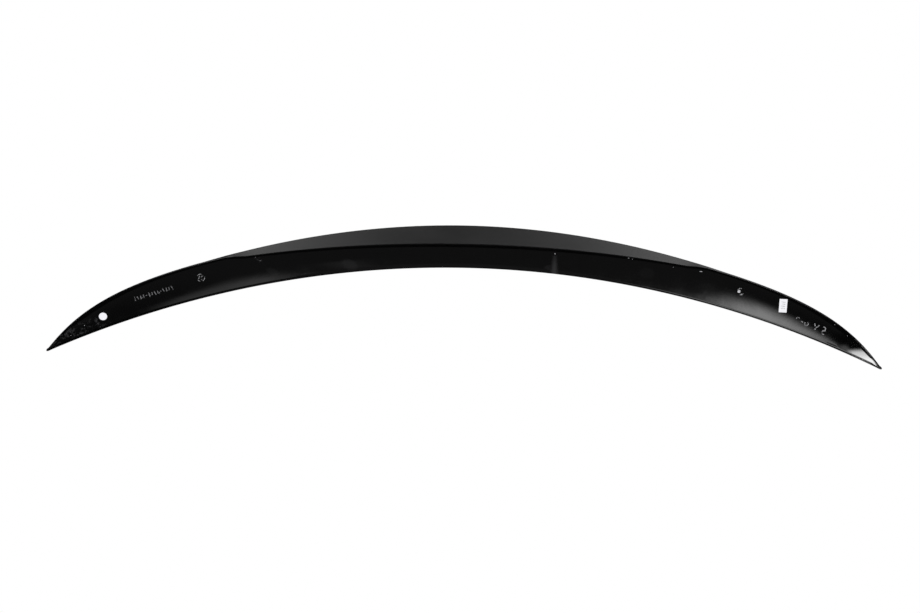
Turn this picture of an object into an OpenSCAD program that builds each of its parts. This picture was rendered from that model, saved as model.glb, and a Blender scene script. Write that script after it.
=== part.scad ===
// Lip spoiler for the rear edge of a car's boot lid, moulded in one piece.
// X runs across the car, +Y points to the front of the car and +Z is up.
// The origin is the middle of the bonding face, where the part meets the lid.

/* [Overall shape] */
// Width across the car, from tip to tip
width = 1180; // [900:10:1400]
// How far the tips sweep forward of the middle, along the front edge
sweep = 121; // [60:1:180]
// How far the tips lie below the middle, to follow the crowned lid
crown = 52; // [10:1:100]

/* [Outline] */
// Depth from the front edge to the lip, at the middle of the car
depth_middle = 55.5; // [40:0.1:80]
// Depth that the outline would reach at the tips, if they didn't taper
depth_ends = 50.8; // [40:0.1:80]
// How late the depth runs out towards the tips, as a power
tip_power = 11; // [6:0.2:16]
// How far past the tips the depth would run out to nothing
tip_spare = 2.5; // [0.5:0.1:6]
// Length of the rounded end of each tip
tip_round = 3; // [1:0.5:6]

/* [Lip] */
// Height of the lip above the bonding face, at the middle
lip_height = 28.8; // [10:0.1:50]
// How far the lip reaches behind the bonding face, at the middle
lip_overhang = 19.8; // [5:0.1:28]
// Distance from the middle where the lip runs out
lip_half_span = 367; // [250:1:430]
// How late the lip runs out, as a power
lip_power = 1.9; // [1.5:0.1:4]
// Length over which the crease under the lip hooks out to the edge, at each end
hook_length = 16; // [5:1:40]
// How far that hook ends before the lip runs out
hook_inset = 34; // [5:1:60]
// How deep the top side curves in ahead of the lip, as a power
top_power = 1.75; // [1:0.05:2.5]
// Size of the rounding along the lip
lip_round = 2.2; // [0.5:0.1:4]
// Size of the rounding where the rear face meets the bonding face
crease_round = 0.6; // [0.2:0.1:2]

/* [Edges] */
// Thickness of the front edge
front_edge = 1.6; // [1:0.1:3]
// Thickness of the rear edge outboard of the lip
rear_edge = 2.4; // [1.5:0.1:5]
// How far the rear edge leans out over the bonding face, outboard of the lip
rear_bevel = 1.2; // [0.5:0.1:4]
// How far the top side swells over a straight line, outboard of the lip
swell = 2.4; // [0:0.1:6]

/* [Underside] */
// Width of the raised bead around the bonding face
rim_width = 3.5; // [1.5:0.1:5]
// How far the bead stands over the field inside it
rim_height = 0.8; // [0.2:0.1:2]
// How far the bead rounds up to the front edge
rim_side = 0.5; // [0.1:0.1:0.9]
// How far the field curves in, from its edges to its middle line
field_hollow = 0.6; // [0:0.1:2]

/* [Paper label] */
// Length of the label, about along the car
label_length = 20.1; // [8:0.1:24]
// Width of the label, about across the car
label_width = 10.8; // [5:0.1:16]
// Distance of the label's centre line from the tip
label_from_tip = 142.7; // [110:0.1:200]
// Gap between the label and the rim behind it
label_gap = 2.9; // [2:0.1:8]
// Turn of the label
label_turn = -1; // [-20:1:20]

/* [Round sticker] */
// Diameter of the sticker
sticker_d = 11.2; // [5:0.1:14]
// Distance of the sticker's centre from the tip
sticker_from_tip = 79.6; // [65:0.1:160]
// Gap between the sticker and the rim ahead of it
sticker_gap = 9.3; // [2:0.1:14]

/* [Hidden] */

// Thickness of the printed paper, and of the glue line under it
paper_thick = 0.12;
glue_line = 0.04;
// Rounding of the label's corners
label_corner = 0.6;
// Small section features shrink where the outline is less deep than this
plain_depth = 10;
// Share of the section that is left at the very end of a tip
tip_blunt = 0.2;
// Where the bead is highest, as a share of its width from its outer side
front_crown = 0.42;
rear_crown = 0.2;
// Shares of the bead's width at which its section has a point
front_shares = [0.2, front_crown, 0.6, 0.74, 0.88];
rear_shares = [0.88, 0.74, 0.58, 0.4, rear_crown];
// Share of the way from the crease to the bead's crown that a rounding may take
crease_limit = 0.9;
// Size of the roundings along the front edge
edge_round = 0.5;
// Stations from the middle to the end of the lip, and on to the tip
lip_stations = 26;
tip_stations = 30;
// Points across the field, up the rear face, over the top and round a corner
field_points = 8;
rear_points = 4;
top_points = 10;
corner_points = 3;

half_w = width / 2;
plan_radius = (half_w * half_w + sweep * sweep) / (2 * sweep);
crown_radius = (half_w * half_w + crown * crown) / (2 * crown);
origin_shift = (depth_middle - lip_overhang) / 2;
hook_end = lip_half_span - hook_inset;

// Front edge in plan, and the height of the bonding face, both as arcs
function front_y(x) = origin_shift + plan_radius - sqrt(plan_radius * plan_radius - x * x);
function base_z(x) = sqrt(crown_radius * crown_radius - x * x) - crown_radius;

// Depth of the outline, before the end of the tip is rounded
function outward(x) = min(abs(x), half_w - tip_round) / (half_w + tip_spare);
function full_depth(x) =
    (depth_middle + (depth_ends - depth_middle) * pow(outward(x), 2))
        * (1 - pow(outward(x), tip_power));

// The tip closes as a quarter ellipse over its last few millimetres, to a blunt end
function tip_close(x) =
    let (past = min(1, max(0, abs(x) - (half_w - tip_round)) / tip_round))
    sqrt(1 - (1 - tip_blunt * tip_blunt) * past * past);
function depth(x) = full_depth(x) * tip_close(x);
function outline_y(x) = front_y(x) - full_depth(x) * (1 - tip_close(x)) / 2;

// Small section features shrink together with the tip
function small(x) = min(1, depth(x) / plain_depth);

// Share of the lip's full height and reach that is left at x
function lip_share(x) = max(0, 1 - pow(abs(x) / lip_half_span, lip_power));
function rear_height(x) =
    rear_edge * small(x) + (lip_height - rear_edge) * lip_share(x);

// The crease hooks out to the edge a little before the lip runs out
function hook(x) =
    let (w = min(1, max(0, 1 + (abs(x) - hook_end) / hook_length)))
    w * w * (3 - 2 * w);
function overhang(x) =
    rear_bevel * small(x) + (lip_overhang - rear_bevel) * lip_share(x) * (1 - hook(x));
function flange(x) = depth(x) - overhang(x);

// The bead keeps its width square to the outline, so it is longer along Y on a slope
function front_slope(x) = abs(x) / sqrt(plan_radius * plan_radius - x * x);
function crease_y(x) = outline_y(x) - flange(x);
function crease_slope(x) = abs(crease_y(abs(x)) - crease_y(abs(x) - 1));
function stretch(slope) = sqrt(1 + slope * slope);
function rim_share(x, slope) = min(rim_width * stretch(slope), 0.3 * flange(x));
function field_start(x) = rim_share(x, front_slope(x));
function rear_rim(x) = rim_share(x, crease_slope(x));
function field_end(x) = flange(x) - rear_rim(x);
function field_width(x) = max(0.001, field_end(x) - field_start(x));

// Height of the bead's section, from its outer side at 0 to its inner foot at 1
function bead_z(x, share, crown_at) =
    small(x) * (share < crown_at
        ? rim_side * pow(1 - share / crown_at, 2)
        : rim_height * pow((share - crown_at) / (1 - crown_at), 2));

// The field curves in less where it is narrower than at the middle of the car
function hollow(x) = field_hollow * min(1, pow(field_width(x) / field_width(0), 2));

// Height of the field over the bonding face, at a distance behind the front edge
function field_z(x, inset) =
    let (within = min(1, max(0, (inset - field_start(x)) / field_width(x))))
    small(x) * (rim_height + hollow(x) * 4 * within * (1 - within));

// Height of the top side over the bonding face, from 0 at the front to 1 at the lip
function top_z(x, share) =
    let (front = front_edge * small(x),
         bend = 1 + (top_power - 1) * lip_share(x))
    front + (rear_height(x) - front) * pow(share, bend)
        + swell * small(x) * (1 - lip_share(x)) * 4 * share * (1 - share);

// Points round a corner, along a curve that starts at a and ends at b
function corner(a, mid, b) =
    [for (i = [0 : corner_points])
        let (w = i / corner_points)
        a * (1 - w) * (1 - w) + mid * 2 * w * (1 - w) + b * w * w];
function toward(from, to, dist) =
    from + (to - from) * min(0.45, dist / max(0.001, norm(to - from)));

// One section as [distance behind the front edge, height over the bonding face]
function section(x) =
    let (deep = flange(x),
         total = depth(x),
         tiny = small(x),
         front_low = [0, bead_z(x, 0, front_crown)],
         front_high = [0, front_edge * tiny],
         crease = [deep, 0],
         crease_reach = min(crease_round * tiny, crease_limit * rear_crown * rear_rim(x)),
         lip = [total, rear_height(x)],
         lip_start = 1 - lip_round * tiny / total,
         front_start = edge_round * tiny / total,
         top = [for (i = [0 : top_points])
             let (share = lip_start + (front_start - lip_start) * i / top_points)
             [total * share, top_z(x, share)]],
         bead_in = [for (share = front_shares)
             [field_start(x) * share, bead_z(x, share, front_crown)]],
         crease_in = crease - [crease_reach, 0],
         crease_out = toward(crease, lip, crease_round * tiny),
         lip_in = toward(lip, crease, lip_round * tiny),
         front_in = toward(front_low, front_high, edge_round * tiny),
         front_out = toward(front_low, bead_in[0], edge_round * tiny),
         last_top = top[top_points])
    concat(
        corner(front_in, front_low, front_out),
        bead_in,
        [for (i = [0 : field_points])
            let (inset = field_start(x) + field_width(x) * i / field_points)
            [inset, field_z(x, inset)]],
        [for (share = rear_shares) [deep - rear_rim(x) * share, bead_z(x, share, rear_crown)]],
        corner(crease_in, crease, crease_out),
        [for (i = [1 : rear_points]) crease_out + (lip_in - crease_out) * i / (rear_points + 1)],
        corner(lip_in, lip, top[0]),
        [for (i = [1 : top_points - 1]) top[i]],
        corner(last_top, front_high, toward(front_high, front_low, edge_round * tiny)));

// The section at x as points in space; the tip's thickness closes about its middle
function placed(x) =
    let (close = tip_close(x),
         lift = front_edge * small(x) * (1 - close) / 2)
    [for (p = section(x)) [x, outline_y(x) - p[0], base_z(x) + lift + p[1] * close]];

// Stations of one half, from the middle to the tip
function half_stations() = concat(
    [for (i = [0 : lip_stations]) lip_half_span * i / lip_stations],
    [for (i = [1 : tip_stations])
        lip_half_span + (half_w - tip_round - lip_half_span)
            * (1 - pow(1 - i / tip_stations, 1.5))],
    [for (angle = [30, 50, 65, 77, 90]) half_w - tip_round * (1 - sin(angle))]);

module spoiler() {
    half = half_stations();
    last = len(half) - 1;
    xs = concat([for (i = [last : -1 : 1]) -half[i]], half);
    sections = [for (x = xs) placed(x)];
    ring = len(sections[0]);
    points = [for (s = sections) each s];
    sides = [for (i = [0 : len(xs) - 2]) for (j = [0 : ring - 1])
        let (k = (j + 1) % ring,
             a = i * ring + j,
             b = i * ring + k,
             c = a + ring,
             d = b + ring)
        each (i < last ? [[a, b, d], [a, d, c]] : [[a, b, c], [b, d, c]])];
    caps = [[for (j = [ring - 1 : -1 : 0]) j],
            [for (j = [0 : ring - 1]) (len(xs) - 1) * ring + j]];
    color([0.05, 0.05, 0.055])
        polyhedron(points, concat(sides, caps), convexity = 6);
}

// Places of the two papers, across the car and behind the front edge
label_x = half_w - label_from_tip;
label_inset = field_end(label_x) - label_gap - label_length / 2;
sticker_x = sticker_from_tip - half_w;
sticker_inset = field_start(sticker_x) + sticker_gap + sticker_d / 2;

// A sheet of paper that follows the field, cut to the outline that is passed in
module paper_on_field(x, inset, reach) {
    cells = 10;
    y = front_y(x) - inset;
    n = cells + 1;
    grid = [for (level = [0, 1]) for (i = [0 : cells]) for (j = [0 : cells])
        let (px = x + reach * (2 * i / cells - 1),
             py = y + reach * (2 * j / cells - 1))
        [px, py, base_z(px) + field_z(px, outline_y(px) - py) - glue_line - level * paper_thick]];
    skins = [for (level = [0, 1]) for (i = [0 : cells - 1]) for (j = [0 : cells - 1])
        let (a = level * n * n + i * n + j,
             b = a + n,
             f = [[a, a + 1, b + 1], [a, b + 1, b]])
        each (level == 0 ? f : [for (t = f) [t[2], t[1], t[0]]])];
    edge = concat(
        [for (i = [0 : cells - 1]) i * n],
        [for (j = [0 : cells - 1]) cells * n + j],
        [for (i = [cells : -1 : 1]) i * n + cells],
        [for (j = [cells : -1 : 1]) j]);
    walls = [for (i = [0 : len(edge) - 1])
        let (a = edge[i], b = edge[(i + 1) % len(edge)])
        each [[a, b, b + n * n], [a, b + n * n, a + n * n]]];
    intersection() {
        polyhedron(grid, concat(skins, walls), convexity = 4);
        translate([x, y, base_z(x) - reach])
            linear_extrude(height = 2 * reach)
                children();
    }
}

module paper_label() {
    reach = norm([label_length, label_width]) / 2 + 1;
    color([0.93, 0.93, 0.92])
        paper_on_field(label_x, label_inset, reach)
            rotate(label_turn)
                offset(r = label_corner, $fn = 32)
                    square([label_width - 2 * label_corner, label_length - 2 * label_corner],
                        center = true);
}

module round_sticker() {
    color([0.95, 0.95, 0.95])
        paper_on_field(sticker_x, sticker_inset, sticker_d / 2 + 1)
            circle(d = sticker_d, $fn = 64);
}

spoiler();
paper_label();
round_sticker();
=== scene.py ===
import math

import bpy
from mathutils import Matrix, Vector


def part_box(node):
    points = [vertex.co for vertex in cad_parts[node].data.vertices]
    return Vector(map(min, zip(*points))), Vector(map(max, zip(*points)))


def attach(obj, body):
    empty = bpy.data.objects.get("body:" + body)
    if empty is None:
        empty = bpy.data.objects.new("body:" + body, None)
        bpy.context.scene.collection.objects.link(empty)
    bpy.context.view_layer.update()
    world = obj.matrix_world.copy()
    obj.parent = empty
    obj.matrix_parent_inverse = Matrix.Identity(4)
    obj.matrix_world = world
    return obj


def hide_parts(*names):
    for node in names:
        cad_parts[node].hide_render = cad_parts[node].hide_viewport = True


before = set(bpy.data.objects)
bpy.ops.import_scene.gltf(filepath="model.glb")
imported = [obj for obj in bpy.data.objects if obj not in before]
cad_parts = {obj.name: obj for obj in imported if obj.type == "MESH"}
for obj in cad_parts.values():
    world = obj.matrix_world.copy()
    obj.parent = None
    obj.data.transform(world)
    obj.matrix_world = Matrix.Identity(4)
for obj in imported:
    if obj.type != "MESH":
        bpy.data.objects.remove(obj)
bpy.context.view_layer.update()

MM = 0.001
WHITE = (1, 1, 1, 1)
BLACK = (0, 0, 0, 1)

# The camera looks up at the underside from below and behind
CAMERA_TARGET = Vector((-7.40, 75.83, 0.0)) * MM
CAMERA_DISTANCE = 2192.9 * MM
CAMERA_RISE = math.radians(70)
CAMERA_ROLL = math.radians(1.26)
CAMERA_LENS = 60
CAMERA_FILM_WIDTH = 36
CAMERA_REACH = 100

# The front edge in plan is an arc, and the bonding face follows the lid's crown
HALF_WIDTH = 590 * MM
SWEEP = 121 * MM
CROWN = 52 * MM
FRONT_EDGE_MIDDLE = 17.85 * MM
PLAN_RADIUS = (HALF_WIDTH**2 + SWEEP**2) / (2 * SWEEP)
CROWN_RADIUS = (HALF_WIDTH**2 + CROWN**2) / (2 * CROWN)

# The moulding's mesh: how far equal points may lie apart, how far a pair of triangles that
# becomes one face may be bent and skewed, and how its edges are broken
MERGE_DISTANCE = 0.000008
PAIRING_ANGLE = 0.6
PAIRING_SKEW = 0.9
EDGE_BREAK = 0.00018
EDGE_BREAK_FROM = math.radians(32)
MOULDING_SMOOTH_UP_TO = math.radians(50)

# The satin rear face: how far it faces back and down, and where it ends
SATIN_FACES_BACK = 0.55
SATIN_FACES_DOWN = 0.2
SATIN_HALF_LENGTH = 0.336
SATIN_ABOVE_BASE = 0.0009

# Places in the list of the moulding's materials
SATIN_SLOT = 1
TOP_SLOT = 2

# The raised mould marks
MARK_HEIGHT = 0.35 * MM
MARK_SINK = 0.08 * MM
BAR_ROUNDING = 0.3
BAR_SMOOTH_UP_TO = math.radians(40)
RING_SMOOTH_UP_TO = math.radians(50)
PIP_SMOOTH_UP_TO = math.radians(60)
FLECK_SMOOTH_UP_TO = math.radians(40)

# A pip's top steps in by a share of its radius and up by a share of its height
PIP_STEPS = [(0.35, 0.35), (0.3, 0.12)]

# A fleck is flattened to this share of its size, and its points lie unevenly by this much
FLECK_FLATNESS = 0.22
FLECK_UNEVEN = 0.16

# Materials: the plastic's index of refraction, and the reach of each bump
PLASTIC_IOR = 1.47
GLOSS_BUMP_REACH = 0.3 * MM
SATIN_BUMP_REACH = 0.2 * MM
PAPER_BUMP_REACH = 0.08 * MM
MARKS_BUMP_REACH = 0.1 * MM

# The painted reflection streak of a flow line on the underside, right of the middle, widens
# ahead of its root
STREAK_X = 0.1249
STREAK_ROOT_Y = -0.012
STREAK_HALF_WIDTH = 3.4 * MM
STREAK_WIDENING = 0.12

# The label's print bars: their pitch, and a shift that keeps the length it is counted in above 0
PRINT_PITCH = 0.0016
PRINT_SHIFT = 0.1

# Sockets of a Mix node that mixes colours, which share their names with others
MIX_FACTOR, MIX_FIRST, MIX_SECOND, MIX_COLOUR = 0, 6, 7, 2


def add_camera():
    forward = Vector((0, math.cos(CAMERA_RISE), math.sin(CAMERA_RISE)))
    level_up = Vector((0, -math.sin(CAMERA_RISE), math.cos(CAMERA_RISE)))
    level_right = Vector((1, 0, 0))
    right = level_right * math.cos(CAMERA_ROLL) + level_up * math.sin(CAMERA_ROLL)
    up = level_up * math.cos(CAMERA_ROLL) - level_right * math.sin(CAMERA_ROLL)
    data = bpy.data.cameras.new("photo_camera")
    data.lens = CAMERA_LENS
    data.sensor_width = CAMERA_FILM_WIDTH
    data.clip_end = CAMERA_REACH
    camera = bpy.data.objects.new("photo_camera", data)
    bpy.context.scene.collection.objects.link(camera)
    turn = Matrix((right, up, -forward)).transposed().to_4x4()
    camera.matrix_world = Matrix.Translation(CAMERA_TARGET - forward * CAMERA_DISTANCE) @ turn
    bpy.context.scene.camera = camera


class Socket:
    """An output of a shader node. Sums on it add Math nodes to its material."""

    def __init__(self, paint, output):
        self.paint = paint
        self.output = output

    def math(self, operation, *values):
        settings = {"operation": operation}
        return self.paint.node("ShaderNodeMath", settings, dict(enumerate(values)))

    def __add__(self, other):
        return self.math("ADD", self, other)

    def __radd__(self, other):
        return self.math("ADD", other, self)

    def __sub__(self, other):
        return self.math("SUBTRACT", self, other)

    def __rsub__(self, other):
        return self.math("SUBTRACT", other, self)

    def __mul__(self, other):
        return self.math("MULTIPLY", self, other)

    def __rmul__(self, other):
        return self.math("MULTIPLY", other, self)

    def __truediv__(self, other):
        return self.math("DIVIDE", self, other)

    def __abs__(self):
        return self.math("ABSOLUTE", self)

    def highest(self, other):
        return self.math("MAXIMUM", self, other)

    def lowest(self, other):
        return self.math("MINIMUM", self, other)

    def square(self):
        return self * self

    def root(self):
        return self.math("SQRT", self)

    def fade(self, start, end):
        """0 up to start, 1 from end on, and smooth between them. Start may be above end."""
        settings = {"interpolation_type": "SMOOTHSTEP"}
        low, high, flip = (start, end, False) if start < end else (end, start, True)
        inputs = {"Value": self, "From Min": low, "From Max": high}
        smooth = self.paint.node("ShaderNodeMapRange", settings, inputs)
        return 1 - smooth if flip else smooth


class Paint:
    """One material, with the one way in which nodes are added to it."""

    def __init__(self, name, **constants):
        self.material = bpy.data.materials.new(name)
        self.material.use_nodes = True
        self.tree = self.material.node_tree
        self.shader = self.tree.nodes["Principled BSDF"]
        for socket, value in constants.items():
            self.set(socket.replace("_", " ").title().replace("Ior", "IOR"), value)

    def node(self, kind, settings=None, inputs=None, output=0):
        made = self.tree.nodes.new(kind)
        for name, value in (settings or {}).items():
            setattr(made, name, value)
        for key, value in (inputs or {}).items():
            self.feed(made.inputs[key], value)
        return Socket(self, made.outputs[output])

    def feed(self, socket, value):
        if isinstance(value, Socket):
            self.tree.links.new(value.output, socket)
        else:
            socket.default_value = value

    def set(self, socket, value):
        self.feed(self.shader.inputs[socket], value)

    def point(self):
        """The point on the piece, in metres."""
        return self.node("ShaderNodeTexCoord", output="Object")

    def split(self, point):
        """A point's X, Y and Z."""
        kind, inputs = "ShaderNodeSeparateXYZ", {"Vector": point}
        return [self.node(kind, inputs=inputs, output=axis) for axis in "XYZ"]

    def noise(self, point, scale, detail, rough, squash=None):
        if squash:
            point = self.node("ShaderNodeMapping", inputs={"Vector": point, "Scale": squash})
        inputs = {"Vector": point, "Scale": scale, "Detail": detail, "Roughness": rough}
        return self.node("ShaderNodeTexNoise", inputs=inputs)

    def blend(self, mask, colour, other):
        inputs = {MIX_FACTOR: mask, MIX_FIRST: colour, MIX_SECOND: other}
        return self.node("ShaderNodeMix", {"data_type": "RGBA"}, inputs, output=MIX_COLOUR)

    def bump(self, height, strength, reach):
        inputs = {"Strength": strength, "Distance": reach, "Height": height}
        self.set("Normal", self.node("ShaderNodeBump", inputs=inputs))


def grey(level):
    return (level, level, level * 1.02, 1)


def spot(x, y, centre, half_length, half_width, turn=0):
    """1 inside an ellipse on the underside, fading to 0 at its edge. Sizes are in mm."""
    lean = math.radians(turn)
    from_x = x - centre[0] * MM
    from_y = y - centre[1] * MM
    along = from_x * math.cos(lean) + from_y * math.sin(lean)
    across = from_y * math.cos(lean) - from_x * math.sin(lean)
    far = (along / (half_length * MM)).square() + (across / (half_width * MM)).square()
    return far.fade(1.3, 0.3)


def behind_front_edge(x, y):
    """How far a point lies behind the moulding's front edge, in metres."""
    return FRONT_EDGE_MIDDLE + PLAN_RADIUS - (PLAN_RADIUS**2 - x.square()).root() - y


def gloss_black(name):
    """Gloss black with a soft cloud and an orange peel, which both hardly show."""
    paint = Paint(name, specular_ior_level=0.5, ior=PLASTIC_IOR)
    point = paint.point()
    cloud = paint.noise(point, scale=55, detail=4, rough=0.6)
    peel = paint.noise(point, scale=420, detail=2, rough=0.6)
    roughness = 0.05 + cloud.fade(0.4, 0.8) * 0.03
    paint.bump(peel * 0.4 + cloud, strength=0.04, reach=GLOSS_BUMP_REACH)
    return paint, point, cloud, peel, roughness


def gloss_top():
    """The polished gloss black of the outside."""
    paint, _, cloud, _, roughness = gloss_black("gloss_black_outside")
    paint.set("Base Color", paint.blend(cloud.fade(0.35, 0.7), grey(0.0014), grey(0.0024)))
    paint.set("Roughness", roughness)
    return paint.material


def flow_line_painted_sheen(x, y):
    """A painted reflection: the pale streak that a moulding flow line mirrors, strongest at its
    front.
    """
    half_width = STREAK_HALF_WIDTH + (y - STREAK_ROOT_Y) * STREAK_WIDENING
    streak = (abs(x - STREAK_X) / half_width).fade(1.0, 0.0)
    return streak * (y + 0.006).fade(0.0, 0.004) * (0.45 + y.fade(-0.004, 0.016) * 0.55)


def gloss_underside():
    """Moulded gloss black, with a faint texture, a painted reflection streak along a flow line,
    smudges, and dust near the left tip.
    """
    paint, point, cloud, peel, roughness = gloss_black("gloss_black_underside")
    x, y, _ = paint.split(point)
    clumps = paint.noise(point, scale=190, detail=4, rough=0.65)
    inset = behind_front_edge(x, y)
    dusty = x.fade(-0.492, -0.522) * inset.fade(0.026, 0.012) * inset.fade(0.003, 0.006)
    film = dusty * clumps.fade(0.50, 0.66)
    # Painted reflection: a pale spot at the front of the flow line's streak
    streak_end_painted_sheen = spot(x, y, (119, 14), 9, 4) * 0.2
    scuff = spot(x, y, (-292, 8), 6, 3, 40) * peel.fade(0.52, 0.6)
    smear = spot(x, y, (-166, 15.5), 14, 8, 15) * cloud.fade(0.3, 0.6)
    smear = smear + spot(x, y, (-273, 26), 10, 5, 20) * 0.6 + spot(x, y, (255, 16), 12, 8) * 0.3
    haze = 0.25 * cloud.fade(0.35, 0.7)
    colour = paint.blend(haze, grey(0.0014), grey(0.0022))
    colour = paint.blend(film, colour, grey(0.032))
    # Painted reflection: the flow line's streak and its front spot are painted paler
    colour = paint.blend(flow_line_painted_sheen(x, y).highest(streak_end_painted_sheen), colour, grey(0.026))
    colour = paint.blend(scuff * 0.4, colour, grey(0.05))
    colour = paint.blend(smear * 0.3, colour, grey(0.02))
    paint.set("Base Color", colour)
    paint.set("Roughness", roughness + film * 0.3 + scuff * 0.2)
    return paint.material


def satin_rear():
    """The rear face, which is less glossy, with a fine even grain."""
    paint = Paint("satin_rear_face", specular_ior_level=0.4, ior=PLASTIC_IOR)
    point = paint.point()
    grain = paint.noise(point, scale=700, detail=2, rough=0.6)
    cloud = paint.noise(point, scale=30, detail=3, rough=0.5, squash=(0.4, 1, 1))
    paint.set("Base Color", paint.blend(cloud.fade(0.3, 0.8), grey(0.0025), grey(0.005)))
    paint.set("Roughness", 0.26 + grain * 0.06 + cloud * 0.06)
    paint.bump(grain, strength=0.1, reach=SATIN_BUMP_REACH)
    return paint.material


def fibrous_paper(name):
    """Paper with fine fibres in its surface."""
    paint = Paint(name, specular_ior_level=0.3)
    point = paint.point()
    fibre = paint.noise(point, scale=1500, detail=3, rough=0.6)
    paint.bump(fibre, strength=0.25, reach=PAPER_BUMP_REACH)
    return paint, point, fibre


def label_paper():
    """White printed paper, with a few pale grey print bars."""
    paint, point, fibre = fibrous_paper("label_paper")
    x, y, _ = paint.split(point)
    low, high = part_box("paper_label")
    middle = (low + high) / 2
    across = abs(x - middle.x)
    along = abs(y - middle.y)
    shifted = y - middle.y + PRINT_SHIFT
    bars = shifted.math("PINGPONG", shifted, PRINT_PITCH)
    print_area = across.fade(0.0030, 0.0026) * along.fade(0.0066, 0.0060)
    smudged = paint.noise(point, scale=420, detail=2, rough=0.5).fade(0.35, 0.6)
    ink = print_area * bars.fade(0.0006, 0.0010) * smudged * 0.8
    colour = paint.blend(fibre.fade(0.3, 0.7), grey(0.93), grey(0.97))
    paint.set("Base Color", paint.blend(ink, colour, grey(0.42)))
    paint.set("Roughness", 0.72 + fibre * 0.12)
    return paint.material


def sticker_paper():
    """Plain white paper, faintly cloudy."""
    paint, point, fibre = fibrous_paper("sticker_paper")
    cloud = paint.noise(point, scale=240, detail=2, rough=0.5)
    colour = paint.blend(fibre.fade(0.3, 0.7) * 0.7, grey(0.97), grey(0.93))
    paint.set("Base Color", paint.blend(cloud.fade(0.55, 0.8) * 0.4, colour, grey(0.88)))
    paint.set("Roughness", 0.74 + fibre * 0.1)
    return paint.material


def marks_painted_glint(name, low, high):
    """The raised mould marks with painted glints: paler than the moulding, mottled by a worn
    grain that also sets roughness and bump.
    """
    paint = Paint(name, specular_ior_level=0.6, ior=PLASTIC_IOR)
    wear_and_glint = paint.noise(paint.point(), scale=500, detail=3, rough=0.6)
    paint.set("Base Color", paint.blend(wear_and_glint.fade(0.4, 0.6), grey(low), grey(high)))
    paint.set("Roughness", 0.28 + wear_and_glint * 0.2)
    paint.bump(wear_and_glint, strength=0.2, reach=MARKS_BUMP_REACH)
    return paint.material


def dust_and_painted_glints():
    # Pale specks: dust near the left tip, and painted glints on moulding flash
    paint = Paint("dust_and_painted_glints", specular_ior_level=0.2)
    patch = paint.noise(paint.point(), scale=1200, detail=3, rough=0.6)
    paint.set("Base Color", paint.blend(patch.fade(0.3, 0.7), grey(0.2), grey(0.5)))
    paint.set("Roughness", 0.8 + patch * 0.1)
    return paint.material


def deselect():
    bpy.ops.object.select_all(action="DESELECT")


def pick(piece):
    deselect()
    piece.select_set(True)
    bpy.context.view_layer.objects.active = piece


def apply_all(piece):
    pick(piece)
    for modifier in list(piece.modifiers):
        bpy.ops.object.modifier_apply(modifier=modifier.name)


def settle(piece):
    """Puts a new piece's place, turn and size into its mesh."""
    pick(piece)
    bpy.ops.object.transform_apply(location=True, rotation=True, scale=True)


def pick_faces(piece, wanted):
    """Picks the faces for which wanted is true, and leaves the piece in edit mode."""
    bpy.ops.object.mode_set(mode="EDIT")
    bpy.ops.mesh.select_mode(type="FACE")
    bpy.ops.mesh.select_all(action="DESELECT")
    bpy.ops.object.mode_set(mode="OBJECT")
    for face in piece.data.polygons:
        face.select = wanted(face)
    bpy.ops.object.mode_set(mode="EDIT")


def base_height(x):
    """The height of the bonding face's middle line at x."""
    return math.sqrt(CROWN_RADIUS**2 - x * x) - CROWN_RADIUS


def on_rear_face(face):
    backward = -face.normal.y > SATIN_FACES_BACK and -face.normal.z > SATIN_FACES_DOWN
    above_base = face.center.z > base_height(face.center.x) + SATIN_ABOVE_BASE
    return backward and abs(face.center.x) < SATIN_HALF_LENGTH and above_base


def model_moulding():
    """The moulding: the frame's own solid, merged, with its edges broken and shaded smooth."""
    pick(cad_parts["spoiler"])
    bpy.ops.object.duplicate()
    piece = bpy.context.object
    piece.name = "moulding"
    for key in list(piece.keys()):
        if key.startswith("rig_"):
            del piece[key]
    world = piece.matrix_world.copy()
    piece.parent = None
    piece.matrix_world = world
    piece.data.materials.clear()
    for material in (gloss_underside(), satin_rear(), gloss_top()):
        piece.data.materials.append(material)
    bpy.ops.object.mode_set(mode="EDIT")
    bpy.ops.mesh.select_all(action="SELECT")
    bpy.ops.mesh.remove_doubles(threshold=MERGE_DISTANCE)
    bpy.ops.mesh.tris_convert_to_quads(
        face_threshold=PAIRING_ANGLE, shape_threshold=PAIRING_SKEW)
    bpy.ops.object.mode_set(mode="OBJECT")
    for face in piece.data.polygons:
        if on_rear_face(face):
            face.material_index = SATIN_SLOT
        elif face.normal.z > 0:
            face.material_index = TOP_SLOT
    bevel = piece.modifiers.new("broken_edges", "BEVEL")
    bevel.width = EDGE_BREAK
    bevel.segments = 2
    bevel.limit_method = "ANGLE"
    bevel.angle_limit = EDGE_BREAK_FROM
    bevel.use_clamp_overlap = True
    apply_all(piece)
    bpy.ops.object.shade_smooth_by_angle(angle=MOULDING_SMOOTH_UP_TO)
    weighted = piece.modifiers.new("face_weighted_shading", "WEIGHTED_NORMAL")
    weighted.keep_sharp = True
    apply_all(piece)
    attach(piece, "root")
    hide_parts("spoiler")
    return piece


def seat(piece, moulding, x, y, turn=0, sink=MARK_SINK):
    """Puts a mark, made flat at the origin and face up, onto the underside at x, y (mm)."""
    start = Vector((x * MM, y * MM, -1))
    _, place, normal, _ = moulding.ray_cast(start, Vector((0, 0, 1)))
    across = Vector((1, 0, 0))
    across = (across - normal * across.dot(normal)).normalized()
    ahead = normal.cross(across)
    matrix = Matrix((across, ahead, normal)).transposed().to_4x4()
    lean = Matrix.Rotation(math.radians(turn), 4, "Z")
    piece.data.transform(Matrix.Translation(place - normal * sink) @ matrix @ lean)
    piece.location = (0, 0, 0)


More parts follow.
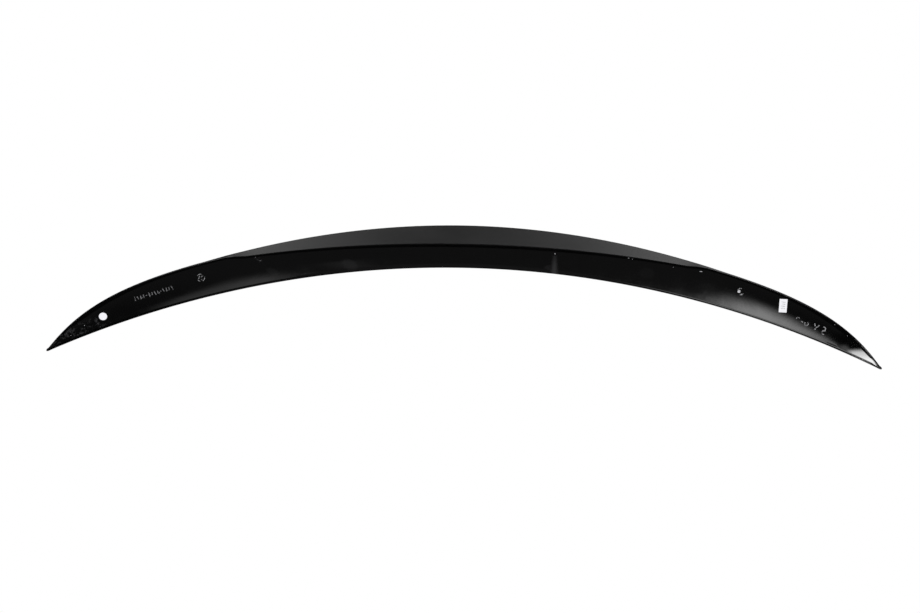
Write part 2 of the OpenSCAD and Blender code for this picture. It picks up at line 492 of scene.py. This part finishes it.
def raised_bar(length, width):
    """A low bar with rounded edges. Sizes are in mm."""
    length, width = length * MM, width * MM
    deselect()
    bpy.ops.mesh.primitive_cube_add(size=1, location=(0, 0, MARK_HEIGHT / 2))
    piece = bpy.context.object
    piece.scale = (length, width, MARK_HEIGHT)
    settle(piece)
    rounding = min(width, MARK_HEIGHT) * BAR_ROUNDING
    bpy.ops.object.mode_set(mode="EDIT")
    bpy.ops.mesh.select_all(action="SELECT")
    bpy.ops.mesh.bevel(offset=rounding, segments=2, affect="EDGES")
    bpy.ops.object.mode_set(mode="OBJECT")
    bpy.ops.object.shade_smooth_by_angle(angle=BAR_SMOOTH_UP_TO)
    return piece


def raised_pip(radius, height=0.4):
    """A low domed pip. Sizes are in mm."""
    radius, height = radius * MM, height * MM
    deselect()
    bpy.ops.mesh.primitive_cylinder_add(
        vertices=24, radius=radius, depth=height, location=(0, 0, height / 2))
    piece = bpy.context.object
    settle(piece)
    pick_faces(piece, lambda face: face.normal.z > 0.9)
    for inward, upward in PIP_STEPS:
        bpy.ops.mesh.inset(thickness=radius * inward)
        bpy.ops.transform.translate(value=(0, 0, height * upward))
    bpy.ops.object.mode_set(mode="OBJECT")
    bpy.ops.object.shade_smooth_by_angle(angle=PIP_SMOOTH_UP_TO)
    return piece


def raised_ring(radius, thick, gaps):
    """A low ring, open over each gap, which is given as start and end angles in degrees.

    Sizes are in mm."""
    radius, thick = radius * MM, thick * MM
    deselect()
    bpy.ops.mesh.primitive_torus_add(
        major_radius=radius, minor_radius=thick / 2, major_segments=72, minor_segments=10)
    piece = bpy.context.object
    piece.scale = (1, 1, 2 * MARK_HEIGHT / thick)
    settle(piece)

    def in_a_gap(face):
        angle = math.degrees(math.atan2(face.center.y, face.center.x)) % 360
        return any(start < angle < end for start, end in gaps)

    pick_faces(piece, in_a_gap)
    bpy.ops.mesh.delete(type="FACE")
    bpy.ops.mesh.select_mode(type="EDGE")
    bpy.ops.mesh.select_all(action="SELECT")
    bpy.ops.mesh.fill_holes(sides=12)
    bpy.ops.mesh.normals_make_consistent(inside=False)
    bpy.ops.object.mode_set(mode="OBJECT")
    bpy.ops.object.shade_smooth_by_angle(angle=RING_SMOOTH_UP_TO)
    return piece


def gather(name, parts, material):
    """Joins marks into one piece of the object."""
    deselect()
    for part in parts:
        part.select_set(True)
    bpy.context.view_layer.objects.active = parts[0]
    if len(parts) > 1:
        bpy.ops.object.join()
    piece = bpy.context.object
    piece.name = name
    piece.data.materials.clear()
    piece.data.materials.append(material)
    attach(piece, "root")


def model_ticks_left(moulding, material):
    """A row of plain raised ticks in three groups, with a dash between the groups."""
    start, end = (-465.2, 63.8), (-413.7, 48.5)
    slant = math.degrees(math.atan2(start[1] - end[1], end[0] - start[0]))
    tick_width, dash = 1.25, (2.6, 1.0)
    # 0 stands for a dash
    heights = [6.6, 4.6, 6.2, 5.6, 0, 6.4, 5.0, 6.6, 4.4, 0, 5.6, 6.4, 4.8, 6.6]
    parts = []
    for i, tall in enumerate(heights):
        share = i / (len(heights) - 1)
        x = start[0] + (end[0] - start[0]) * share
        y = start[1] + (end[1] - start[1]) * share
        third = i % 3
        lean = 12 if third == 1 else -4 if tall else 0
        bar = raised_bar(tick_width, tall) if tall else raised_bar(*dash)
        seat(bar, moulding, x, y, slant + lean)
        parts.append(bar)
        if third == 2 and tall:
            pip = raised_pip(0.8)
            seat(pip, moulding, x + 2.0, y + 1.0)
            parts.append(pip)
    gather("raised_ticks_left", parts, material)


# The marks of each group: how each is made, its sizes, its place from the group's centre and
# its turn. Sizes and places are in mm, turns and a ring's gaps in degrees.

# A moulder's round mark: a broken ring round a pip and two bars
ROUND_LEFT_CENTRE = (-373.4, 34.1)
ROUND_LEFT = [
    (raised_ring, (5.3, 1.0, [(15, 75), (150, 215), (262, 300)]), (0, 0), 0),
    (raised_bar, (4.8, 1.2), (-2.4, -0.6), 76),
    (raised_bar, (3.4, 1.2), (1.6, -1.8), 30),
    (raised_pip, (1.0,), (1.0, 2.6), 0),
]

# An arc, a dash and a ring, then two slanted bars and two arcs
MARKS_RIGHT_CENTRE = (0, 0)
MARKS_RIGHT = [
    (raised_ring, (2.1, 1.0, [(170, 370)]), (469.5, 71.5), 20),
    (raised_bar, (2.8, 1.4), (475.4, 75.6), -32),
    (raised_ring, (2.6, 1.5, [(60, 130)]), (481.6, 78.4), 0),
    (raised_bar, (10.4, 1.5), (496.0, 82.8), 46),
    (raised_bar, (4.6, 1.3), (493.4, 79.0), -78),
    (raised_ring, (2.7, 1.4, [(100, 250)]), (505.6, 84.0), 0),
    (raised_ring, (2.9, 1.6, [(-80, 40), (280, 400)]), (506.6, 89.6), 0),
]

# An ejector mark: an open raised ring with short ribs at one side
ROUND_RIGHT_CENTRE = (387.1, 36.9)
ROUND_RIGHT = [
    (raised_ring, (4.7, 1.2, [(-30, 75), (330, 435), (150, 262)]), (0, 0), 0),
    (raised_bar, (3.4, 1.3), (2.2, 4.0), -34),
    (raised_bar, (3.2, 1.2), (-0.4, -5.0), -8),
]

# The dome in the middle of the right round mark, painted pale as a glint
ROUND_PIP_CENTRE = (385.1, 36.4)
ROUND_PIP = [(raised_pip, (2.0, 0.6), (0, 0), 0)]


def model_marks(name, moulding, material, centre, marks):
    """Makes each mark of a group and seats it on the underside."""
    parts = []
    for make, sizes, place, turn in marks:
        part = make(*sizes)
        seat(part, moulding, centre[0] + place[0], centre[1] + place[1], turn)
        parts.append(part)
    gather(name, parts, material)


# Flecks of dust, and bits of moulding flash painted pale as glints, most of them along the
# crease: x, y, length and width in mm, and turn in degrees
FLECKS = [
    (228.3, -4.9, 1.5, 1.1, 15), (233.8, -3.6, 1.3, 0.9, 62), (291.5, 6.0, 1.0, 0.8, 49),
    (330.2, 10.0, 4.4, 1.1, -6), (125.0, -7.0, 1.6, 1.6, 23), (520.0, 76.5, 1.1, 0.9, 10),
    (539.0, 91.6, 1.0, 0.8, 57), (-536.3, 101.6, 1.3, 1.1, 44), (-555.5, 115.6, 1.0, 0.8, 31),
    (-297.0, 5.0, 0.8, 0.7, 18), (-290.5, 9.5, 0.9, 0.6, 65),
]


def model_flecks(moulding, material):
    """Makes the flecks from small uneven spheres, sunk to half their thickness."""
    parts = []
    for i, (x, y, length, width, turn) in enumerate(FLECKS):
        deselect()
        bpy.ops.mesh.primitive_ico_sphere_add(subdivisions=2, radius=0.5 * MM)
        fleck = bpy.context.object
        fleck.scale = (length, width, FLECK_FLATNESS)
        settle(fleck)
        for n, vertex in enumerate(fleck.data.vertices):
            vertex.co *= 1 + FLECK_UNEVEN * math.sin(n * 2.4 + i * 1.7)
        bpy.ops.object.shade_smooth_by_angle(angle=FLECK_SMOOTH_UP_TO)
        seat(fleck, moulding, x, y, turn, sink=0)
        parts.append(fleck)
    gather("flecks_dust_and_painted_glints", parts, material)


def dress(node, material):
    """A CAD node that stays gets its material."""
    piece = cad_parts[node]
    piece.data.materials.clear()
    piece.data.materials.append(material)


def plate(name, low, high, place, material, facing="Z"):
    """A plate at right angles to the named axis, at the given place on it."""
    deselect()
    bpy.ops.mesh.primitive_plane_add(size=1)
    piece = bpy.context.object
    piece.name = name
    wide, tall = high[0] - low[0], high[1] - low[1]
    across, along = (high[0] + low[0]) / 2, (high[1] + low[1]) / 2
    if facing == "Z":
        piece.scale, piece.location = (wide, tall, 1), (across, along, place)
    elif facing == "Y":
        piece.scale, piece.location = (wide, tall, 1), (across, place, along)
        piece.rotation_euler = (math.radians(90), 0, 0)
    else:
        piece.scale, piece.location = (tall, wide, 1), (place, across, along)
        piece.rotation_euler = (0, math.radians(90), 0)
    settle(piece)
    piece.data.materials.append(material)
    return piece


def white_to_camera(name, colour):
    """A pale surface that is plain white where the camera, gloss or glass sees it."""
    paint = Paint(name, specular_ior_level=0.0, roughness=1.0)
    paint.set("Base Color", colour)
    seen = paint.node("ShaderNodeLightPath", output="Is Camera Ray")
    gloss = paint.node("ShaderNodeLightPath", output="Is Glossy Ray")
    glass = paint.node("ShaderNodeLightPath", output="Is Transmission Ray")
    white = paint.node("ShaderNodeEmission", inputs={"Color": WHITE, "Strength": 1.0})
    lit = Socket(paint, paint.shader.outputs["BSDF"])
    shaders = {0: seen.highest(gloss).highest(glass), 1: lit, 2: white}
    mixed = paint.node("ShaderNodeMixShader", inputs=shaders)
    paint.feed(paint.tree.nodes["Material Output"].inputs["Surface"], mixed)
    return paint.material


def glow_card(name, low, high, place, glow, facing, veil):
    """A card that only gloss sees: it shows in the moulding's reflections and lights nothing.

    Its glow gives its brightness at x, y, z. A veil, if given, says how much it hides there."""
    paint = Paint(name, specular_ior_level=0.0, roughness=1.0, base_color=BLACK)
    x, y, z = paint.split(paint.point())
    paint.set("Emission Color", glow(x, y, z))
    paint.set("Emission Strength", 1.0)
    if veil:
        paint.set("Alpha", veil(x, y, z))
    card = plate(name, low, high, place, paint.material, facing)
    card.visible_camera = False
    card.visible_diffuse = False
    card.visible_shadow = False
    card.visible_transmission = False


# How bright the patches on the cards are, where 1 is white
FLOOR_MIDDLE = 0.092
FLOOR_SIDE_DROP = 0.055
RIGHT_PATCH = 5.6
RIGHT_HEM = 0.25
LEFT_PATCH = 1.01
MIDDLE_STRIP = 0.16
TIP_PATCH = 15.8
TIP_CORE = 9
TIP_HEM = 1.3
EDGE_PATCH = 1.5
BELOW_PATCH = 0.15
BEHIND_PATCH = 4
REAR_ROOM = 1.27
REAR_ROOM_LIMIT = 1.2
DIM_ROOM = 0.12


# Each function below gives a card's brightness or its veil at a point. Places are in metres.
def floor_glow(x, y, z):
    """What the underside mirrors: a dim floor with a soft patch of light on each side."""
    right = x.fade(0.283, 0.365) * (x + y).fade(1.26, 1.08) * x.fade(0.60, 0.42) * RIGHT_PATCH
    hem = x.fade(0.25, 0.28) * y.fade(0.68, 0.60) * RIGHT_HEM
    fan = (y - 0.695) / (x + 0.42)
    left = fan.fade(0.6, -0.75) * x.fade(-0.195, -0.25) * x.fade(-0.40, -0.34) * LEFT_PATCH
    strip = abs(x + 0.132).fade(0.026, 0.012) * y.fade(0.80, 0.70) * MIDDLE_STRIP
    return FLOOR_MIDDLE - abs(x).fade(0.2, 0.4) * FLOOR_SIDE_DROP + right + hem + left + strip


def tip_glow(x, y, z):
    """A bright patch close under the right tip, as far as the tip's flat field mirrors it."""
    along = x - y * 0.11
    patch = along.fade(0.5185, 0.529) * TIP_PATCH + along.fade(0.528, 0.545) * TIP_CORE
    patch = patch + y.fade(0.162, 0.153) * along.fade(0.508, 0.516) * TIP_HEM
    return patch * y.fade(0.192, 0.186) * (y - x * 1.1).fade(-0.451, -0.444)


def tip_veil(x, y, z):
    """How much the tip's card hides of the floor: all at the patch, a soft part beside it."""
    beside = x.fade(0.503, 0.517) * y.fade(0.1405, 0.147) * 0.9
    return beside.highest(x.fade(0.529, 0.533))


def edge_glow(x, y, z):
    """A patch that the right end's front edge mirrors."""
    return x.fade(0.465, 0.50) * x.fade(0.54, 0.52) * EDGE_PATCH


def rear_glow(x, y, z):
    """What the rear face mirrors: a room that is brighter to both sides, less so high up."""
    brighter = x.fade(0.3, -0.3) * 0.25 + x.fade(0.75, 1.2) * 0.85
    sides = (abs(x) / 0.9).square() * (REAR_ROOM + brighter)
    limit = REAR_ROOM_LIMIT + z.fade(1.3, 0.7) * 3.8
    return sides.lowest(limit) * abs(x).fade(2.4, 1.9) + abs(x).fade(1.9, 2.6)


def dark_floor(x, y, z):
    """A dark floor round the dim one, with a dim patch in the middle, a bright one behind the
    right end, and white at its right side and ahead."""
    ahead_of_end = y.fade(-2.4, -2.2)
    below = abs(x).fade(0.55, 0.45) * ahead_of_end * y.fade(0.45, 0.4) * BELOW_PATCH
    behind = x.fade(0.6, 0.85) * x.fade(1.9, 1.7) * y.fade(-0.75, -0.95) * ahead_of_end
    return below + behind * BEHIND_PATCH + x.fade(2.2, 3.0).highest(y.fade(7, 9))


def dark_wall(x, y, z):
    """A dark side of the room, which turns into the white round it at its top and its ends."""
    over = z.fade(0.4, 2.6) * y.fade(-1.2, -0.3)
    return over.highest(y.fade(-2.6, -3.6)).highest(y.fade(3.5, 5.0))


def dark_sky(x, y, z):
    """A dark patch high up behind the left side, which keeps the left rear edge dark."""
    return x.fade(-0.8, -0.4).highest(y.fade(-0.6, -0.25)).highest(y.fade(-2.8, -3.6))


def dim_wall(x, y, z):
    """The other side of the room, which is dim, and white round it."""
    white = z.fade(3.0, 6.0).highest(y.fade(-2.8, -3.8)).highest(y.fade(0.6, 2.4))
    return DIM_ROOM + white * (1 - DIM_ROOM)


# The pale floor, in metres
FLOOR_CORNERS = (-15, -15), (15, 15)
FLOOR_HEIGHT = -2.6

# Each card's two corners, its place on the axis that it faces, its glow, that axis, its veil
CARDS = [
    ("dark_floor", (-3, -4), (3, 9), -2.45, dark_floor, "Z", None),
    ("dark_wall", (-3.6, -2.45), (5, 2.6), -3.0, dark_wall, "X", None),
    ("dark_sky", (-3.0, -3.6), (-0.4, -0.25), 2.6, dark_sky, "Z", None),
    ("dim_wall", (-3.9, -2.45), (2.4, 6), 3.0, dim_wall, "X", None),
    ("floor_card", (-0.8, 0.4), (0.8, 1.3), -2.4, floor_glow, "Z", None),
    ("tip_card", (0.50, 0.138), (0.60, 0.22), -0.2, tip_glow, "Z", tip_veil),
    ("edge_card", (0.465, 0.27), (0.62, 0.65), -0.2, edge_glow, "Z", None),
    ("rear_card", (-6, -2.45), (6, 5.0), -4.0, rear_glow, "Y", None),
]


def light_studio():
    """A white world and a pale floor give the light, and the cards give the reflections."""
    world = bpy.data.worlds.new("studio")
    bpy.context.scene.world = world
    world.use_nodes = True
    background = world.node_tree.nodes["Background"]
    background.inputs["Color"].default_value = WHITE
    background.inputs["Strength"].default_value = 1.0
    pale = white_to_camera("pale_floor", grey(0.95))
    plate("pale_floor", *FLOOR_CORNERS, FLOOR_HEIGHT, pale)
    for name, low, high, place, glow, facing, veil in CARDS:
        glow_card(name, low, high, place, glow, facing, veil)


add_camera()
moulding = model_moulding()
dress("paper_label", label_paper())
dress("round_sticker", sticker_paper())
# The marks' pale greys are painted glints, mottled by a worn grain
model_ticks_left(moulding, marks_painted_glint("mould_marks_painted_glint", 0.02, 0.2))
painted_glint_marks = marks_painted_glint("mould_marks_painted_bright_glint", 0.04, 0.34)
model_marks("round_mark_left", moulding, painted_glint_marks, ROUND_LEFT_CENTRE, ROUND_LEFT)
model_marks("raised_marks_right", moulding, painted_glint_marks, MARKS_RIGHT_CENTRE, MARKS_RIGHT)
model_marks("round_mark_right", moulding, painted_glint_marks, ROUND_RIGHT_CENTRE, ROUND_RIGHT)
# The pip's near white is a painted glint
painted_glint_pip = marks_painted_glint("pip_painted_glint", 0.45, 0.85)
model_marks("round_mark_pip", moulding, painted_glint_pip, ROUND_PIP_CENTRE, ROUND_PIP)
# The flecks' pale colour is dust at the left tip and painted glints elsewhere
model_flecks(moulding, dust_and_painted_glints())
light_studio()
bpy.context.scene.view_settings.view_transform = "Standard"

bpy.context.view_layer.update()
